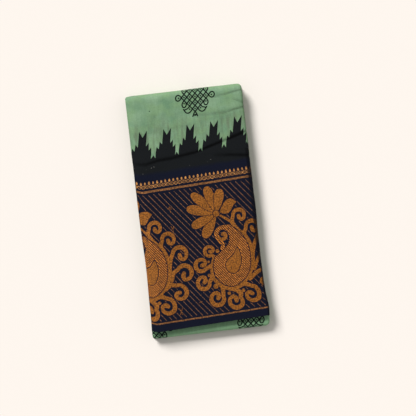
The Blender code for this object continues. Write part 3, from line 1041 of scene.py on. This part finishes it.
def leaf(ring, first):
    """(points, cloth, faces, bake) of one leaf. Its points are numbered from first."""
    x, depth, end = leaf_outline(LEAF_TOP + ring * LEAF_PITCH)
    rows, count = leaf_rows(ring), len(x)
    x, travel = np.meshgrid(x, rows)
    # The edge of each layer lies in by its own amount, and wanders
    layer = np.where(end < 0, ring, 2 * LEAVES - 1 - ring)
    stagger = np.array(LEAF_STAGGER)[layer] + 0.45 * np.sin(travel / 0.031 + 1.7 * layer)
    stagger += 0.25 * np.sin(travel / 0.0115 + 2.9 * layer) + 0.3
    stagger = np.where((end < 0) & (ring == 0), TOP_LEAF_SHORT, stagger)
    x = x + np.abs(end) * stagger * MM
    ragged = smooth(1 - (travel - rows[0]) / 0.014) * 0.5 * MM * np.sin(x / 0.013 + 2.1 * ring)
    # The tucked end bulges into the hollow of the top fold
    hollow = TOP_RADIUS - THIRD
    bulge = np.sqrt((hollow**2 - (depth - THIRD / 2) ** 2).clip(0)) * (travel >= rows[-1] - 1e-9)
    points = place(x, askew(travel + ragged, x) + 0.8 * bulge, depth).reshape(-1, 3)
    # The third value is the depth in millimetres, which the materials darken by as they do in creases: the
    # leaves are drawn darker below their top, as painted shade.
    cloth = [x / MM + 13.0 * layer, (travel - SELVEDGE_TRAVEL) / MM, np.broadcast_to(depth / MM, x.shape)]
    row, column = cells(len(rows), count + 1)
    faces = (first + row * count + column % count).tolist()
    bake = [pairs((column / count + ring) / LEAVES, row / (len(rows) - 1)).reshape(-1, 2) * 0.98 + 0.01]
    for start, order, height in ((first, 1, 0.005), (first + x.size - count, -1, 0.995)):
        for cap in leaf_caps(count):
            faces.append([start + corner for corner in cap[::order]])
            bake.append(np.tile([[(ring + 0.5) / LEAVES, height]], (len(cap), 1)))
    return points, np.stack(cloth, axis=-1).reshape(-1, 3), faces, np.concatenate(bake)


def folded_leaves(look):
    """All layers under the outermost cloth, as leaves that wrap round the rolled side."""
    points, cloth, faces, bake = [], [], [], []
    for ring in range(LEAVES):
        for found, more in zip((points, cloth, faces, bake), leaf(ring, len(points))):
            found += list(more)
    return make_piece("folded_leaves", points, faces, cloth, bake, look)


# Ornament on the cloth

def temple_points(look):
    """The row of woven temple points, from inside the black band up into the green."""
    outline = []
    rise = [(-half, height) for half, height in TEMPLE_HALF]
    fall = [(half, height) for half, height in reversed(TEMPLE_HALF)]
    for middle, growth in TEMPLES:
        for half, height in rise + [(0, TEMPLE_NOTCH)] + fall[:-1]:
            height *= growth
            outline.append((middle + half + TEMPLE_LEAN * height, TEMPLE_BASE + height))
    outline = [(outline[0][0], TEMPLE_BASE - 8)] + outline + [(outline[-1][0], TEMPLE_BASE - 8)]
    shapes = [(np.array(outline), PLAIN)]
    lines_v = steps(TEMPLE_BASE - 6, TEMPLE_BASE + 48, 2.0)
    return overlay("temple_points", *painted(shapes, lines_over(2.0), lines_v), look, 0.16)


def ribbons(lines, half):
    """(points, faces) of lines of some width. Each line is an array of points."""
    flat, faces = [], []
    for line in lines:
        left, right = band_sides(line, half)
        first = len(flat)
        flat += np.stack([right, left], axis=1).reshape(-1, 2).tolist()
        faces += [[first + 2 * i, first + 2 * i + 2, first + 2 * i + 3, first + 2 * i + 1]
                  for i in range(len(line) - 1)]
    return flat, faces


def woven_rules(look):
    """The two plain copper rules of the border."""
    columns = lines_over(3.0)
    waver = 0.10 * np.sin(columns / 5.3) + 0.07 * np.sin(columns / 1.9)
    flat, faces = [], []
    for middle, thick in (UPPER_RULE, LOWER_RULE):
        row, column = cells(4, len(columns))
        faces += (len(flat) + row * len(columns) + column).tolist()
        for share in (0, 0.33, 0.67, 1):
            flat += pairs(columns, middle + waver + thick * (share - 0.5)).tolist()
    return overlay("woven_rules", flat, faces, look)


def bud_row(look):
    """A row of buds over two interlaced waves with a dot in each link."""
    shapes = []
    for sign in (-1, 1):
        u = np.arange(-92, 101, BUD_PITCH / 8)
        v = LINK_V + sign * LINK_RISE * np.sin(math.pi * (u - BUD_FIRST) / BUD_PITCH)
        shapes += laid(PLAIN, band(pairs(u, v), LINK_HALF, ends=False))
    angle = np.linspace(0, math.tau, 15)[:-1]
    point = 1 + 0.35 * np.clip(np.sin(angle), 0, 1) ** 6
    for column in range(-2, 30):
        u = BUD_FIRST + BUD_PITCH * column
        size = 1 + 0.09 * math.sin(3.7 * column)
        rise = BUD_RISE * size * np.sin(angle) * point
        bud = pairs(u + BUD_HALF * size * np.cos(angle), BUD_V + rise)
        shapes += [(bud, PLAIN), (circle((u + BUD_PITCH / 2, LINK_V), LINK_DOT, 8), PLAIN)]
    return overlay("bud_row", *painted(shapes, lines_over(3.2), np.array([225.0, 229.0, 232.0, 239.0])), look)


def paisley(name, repeat, paint, look):
    shapes = [(on_border(shape, repeat), laid_as) for shape, laid_as in motif_shapes(repeat)]
    return overlay(name, *painted(shapes, lines_over(3.5), steps(14, 220, 3.5), paint), look)


def pinstripes(look):
    """Slanting single zari threads that fill the ground between the motifs."""
    masks = [on_border(shape, repeat) for repeat in (0, 1) for shape in mask_shapes(repeat)]
    lines = []
    for column in range(50):
        top = STRIPE_TOP + rng.uniform(-0.9, 0.6)
        start = STRIPE_FIRST + column * STRIPE_PITCH + rng.uniform(-0.3, 0.3)
        line = slanting(start, STRIPE_TOP, STRIPE_SLOPE, 255, SKEW)
        line[:, 0] += 0.15 * np.sin(np.arange(len(line)) / 34 + column)
        bottom = STRIPE_END + rng.uniform(-0.4, 1.6)
        u, v = line.T
        shown = (u > U_EDGE - 0.5) & (u < U_UNDER) & (v < top) & (v > bottom)
        lines += shown_parts(line, shown & ~covered(line, masks), 5, 5)
    return overlay("pinstripes", *ribbons(lines, STRIPE_HALF), look, 0.09)


def weave_flaws(look):
    """Short loose floats between the pinstripes, as in any hand-loom border."""
    strokes = (
        # u, v, to u, v
        (-41.4, 192.2, -41.0, 182.6), (-44.6, 188.5, -41.3, 192.2), (-41.3, 192.2, -38.4, 187.6),
        (-40.6, 160.0, -40.2, 149.2), (-43.0, 162.2, -40.4, 156.0), (-38.2, 161.6, -40.4, 156.0),
        (-44.6, 33.6, -40.2, 22.6), (-39.8, 33.4, -44.4, 22.8),
        (-13.6, 37.2, -8.4, 38.4), (-25.6, 37.0, -24.4, 37.4),
    )
    lines = [np.linspace(stroke[:2], stroke[2:], 4) for stroke in strokes]
    return overlay("weave_flaws", *ribbons(lines, 0.27), look, 0.11)


KOLAM_ACROSS = 8.5      # dot spacing across the cloth
KOLAM_DOWN = 9.5        # and down it
KOLAM_LEAN = 0.10
KOLAM_HALF = 0.96       # half width of a line
KOLAM_REACH = 2.5       # how far the crossing lines go, in dot spacings
KOLAM_DOT = 1.25
KOLAM_LOOPS = (
    # points across and up from the middle dot of lines that are drawn on both sides, up and down
    ((2.5, 0), (2.72, 0.28), (3.05, 0.46), (3.4, 0.34), (3.55, 0),
     (3.4, -0.34), (3.05, -0.46), (2.72, -0.28), (2.5, 0)),
    ((2, 0.5), (2.26, 0.8), (2.38, 1.15), (2.26, 1.5), (2, 1.62),
     (1.74, 1.5), (1.62, 1.15), (1.74, 0.8), (2, 0.5)),
    ((1, 1.5), (1.35, 1.84), (2.02, 2.06)),
    ((2.14, 1.92), (2.02, 2.06), (1.72, 2.46), (1.32, 2.62), (0.88, 2.46), (0.5, 2)),
    ((0, 2.5), (0.26, 2.84), (0.44, 3.26)),
    ((0, 3.12), (0.34, 3.04)),
)


def diamond(reach):
    """Whole places that are at most this many steps from the middle."""
    near = range(-reach, reach + 1)
    return [(i, j) for i in near for j in near if abs(i) + abs(j) <= reach]


def kolam_lines():
    """A figure of looped lines round a diamond of dots, in dot spacings: 7 dots across its middle."""
    lines = []
    for offset in np.arange(-KOLAM_REACH, KOLAM_REACH + 0.1):
        across = np.linspace(offset - KOLAM_REACH, offset + KOLAM_REACH, 9) / 2
        lines += [pairs(across, offset - across), pairs(-across, offset - across)]
    for loop in KOLAM_LOOPS:
        lines += [spline(np.array(loop, float) * (side, up), 0.12) for side in (-1, 1) for up in (-1, 1)]
    return lines


def kolam_at(middle_u, middle_v):
    """Shapes of the figure in u and v, as (polygon, paint). It leans a little, as the block was set."""

    def to_cloth(points):
        across, up = np.asarray(points, float).T
        up = up * KOLAM_DOWN
        return pairs(middle_u + across * KOLAM_ACROSS + KOLAM_LEAN * up, middle_v + up)

    crossings = [(i / 2, j / 2) for i, j in diamond(5) if (i + j) % 2]
    shapes = [(shape, PLAIN) for line in kolam_lines() for shape in band(to_cloth(line), KOLAM_HALF)]
    return shapes + [(circle(middle, KOLAM_DOT, 8), PLAIN) for middle in to_cloth(diamond(3) + crossings)]


def kolam_prints(look):
    """The printed figures: one goes over the top fold and two lie on the bottom fold."""
    top = kolam_at(17.6, V_TOP + 0.8) + [(circle((-55, V_TOP - 13.4), 0.8, 8), PLAIN)]
    top = painted(top, lines_over(3.0, -60, 80), steps(V_TOP - 50, V_TOP + 42, 1.5))
    low = kolam_at(63.0, V_TUCK + 12.4) + kolam_at(-87.5, V_TUCK + 6.0)
    low = painted(low, lines_over(3.0), steps(V_BOTTOM - 2, V_TUCK + 30, 1.2))
    return overlay("kolam_top", *top, look, 0.10), overlay("kolam_bottom", *low, look, 0.10, "tucked_third")


def lint(look):
    """A few specks of fluff on the black band."""
    places = ((-70, 254.5), (-62, 256), (-57.5, 257), (-76, 249), (30.5, 255), (25, 252), (-3, 251))
    shapes = []
    for middle_u, middle_v in places:
        size = rng.uniform(0.4, 0.8)
        angle = np.sort(rng.uniform(0, math.tau, 6))
        reach = size * rng.uniform(0.5, 1.2, 6)
        speck = pairs(middle_u + 1.5 * reach * np.cos(angle), middle_v + reach * np.sin(angle))
        shapes.append((speck, PLAIN))
    return overlay("lint", *painted(shapes, np.array([-90.0, 80.0]), np.array([240.0, 265.0])), look, 0.14)


# Stage

def floor():
    bpy.ops.mesh.primitive_plane_add(size=6)
    made = bpy.context.object
    made.name = "floor"
    look = bpy.data.materials.new("pale_floor")
    look.use_nodes = True
    shader = look.node_tree.nodes["Principled BSDF"]
    shader.inputs["Base Color"].default_value = (0.90, 0.837, 0.777, 1.0)
    shader.inputs["Roughness"].default_value = 1.0
    shader.inputs["Specular IOR Level"].default_value = 0.0
    made.data.materials.append(look)


def lights():
    """A broad soft light from the upper left and an even pale surround."""
    sun = bpy.data.lights.new("soft_key", "SUN")
    sun.energy = 3.60
    sun.angle = math.radians(22)
    lamp = bpy.data.objects.new("soft_key", sun)
    bpy.context.scene.collection.objects.link(lamp)
    towards = Vector((-0.60, 1.06, 1.0))
    lamp.rotation_euler = towards.to_track_quat("Z", "Y").to_euler()
    world = bpy.data.worlds.new("surround")
    world.use_nodes = True
    background = world.node_tree.nodes["Background"]
    background.inputs["Color"].default_value = (1.0, 1.0, 1.0, 1.0)
    background.inputs["Strength"].default_value = 0.38
    bpy.context.scene.world = world


def camera():
    """Straight above, turned a little, with a long lens."""
    data = bpy.data.cameras.new("camera")
    distance, view_width = 4.00, 0.6471
    data.sensor_width = 36
    data.lens = data.sensor_width * distance / view_width
    made = bpy.data.objects.new("camera", data)
    made.location = (0.0175, 0.0031, HEIGHT + distance)
    made.rotation_euler = (0, 0, math.radians(-6.75))
    bpy.context.scene.collection.objects.link(made)
    bpy.context.scene.camera = made


def main():
    floor()
    lights()
    camera()
    bpy.context.scene.view_settings.view_transform = "Standard"

    green = cotton("green_cotton", 0.20, 0.06, cotton_green)
    front_rows = np.unique(np.concatenate([steps(SELVEDGE_SHORT, V_TOP, 2.0), steps(V_TOP, V_BACK, 1.2)]))
    front_look = cotton("front_cotton", 0.04, 0.02, front_colour)
    front = cloth_shell("front_cloth", cloth_columns(2.0), front_rows, front_look)
    back = cloth_shell("back_cloth", cloth_columns(5.0), steps(V_BACK, V_BOTTOM, 2.0), green)
    fold_rows = [steps(V_BOTTOM, V_TUCK, 1.0), steps(V_TUCK, V_END, 2.0)]
    tucked_rows = np.unique(np.concatenate(fold_rows))
    tucked = cloth_shell("tucked_cloth", cloth_columns(3.0), tucked_rows, green)
    leaves = folded_leaves(cotton("leaf_cotton", 0.04, 0.04, leaf_colour))
    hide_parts("front_third")
    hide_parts("back_third")
    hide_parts("tucked_third")
    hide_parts("hidden_layers")

    motif_zari = zari("motif_zari", COPPER)
    # Painted light: the hatched mango is a brighter copy of the same copper, for the light that its floats
    # catch.
    lit_hatched_zari = zari("lit_hatched_zari", COPPER, 1.90)
    ornament = [
        temple_points(cotton("black_cotton", 0.04, 0.02, temple_black)),
        woven_rules(zari("rule_zari", ROSE_COPPER)),
        bud_row(zari("bud_zari", PALE_COPPER, patchy=0.30)),
        paisley("paisley_right", 0, PLAIN, motif_zari),
        paisley("paisley_left", 1, PLAIN, motif_zari),
        paisley("mango_right", 0, HATCHED, lit_hatched_zari),
        paisley("mango_left", 1, HATCHED, lit_hatched_zari),
        pinstripes(zari("stripe_zari", ROSE)),
        weave_flaws(zari("flaw_zari", COPPER)),
        lint(lint_fluff()),
    ]
    top_print, low_print = kolam_prints(print_ink())


main()
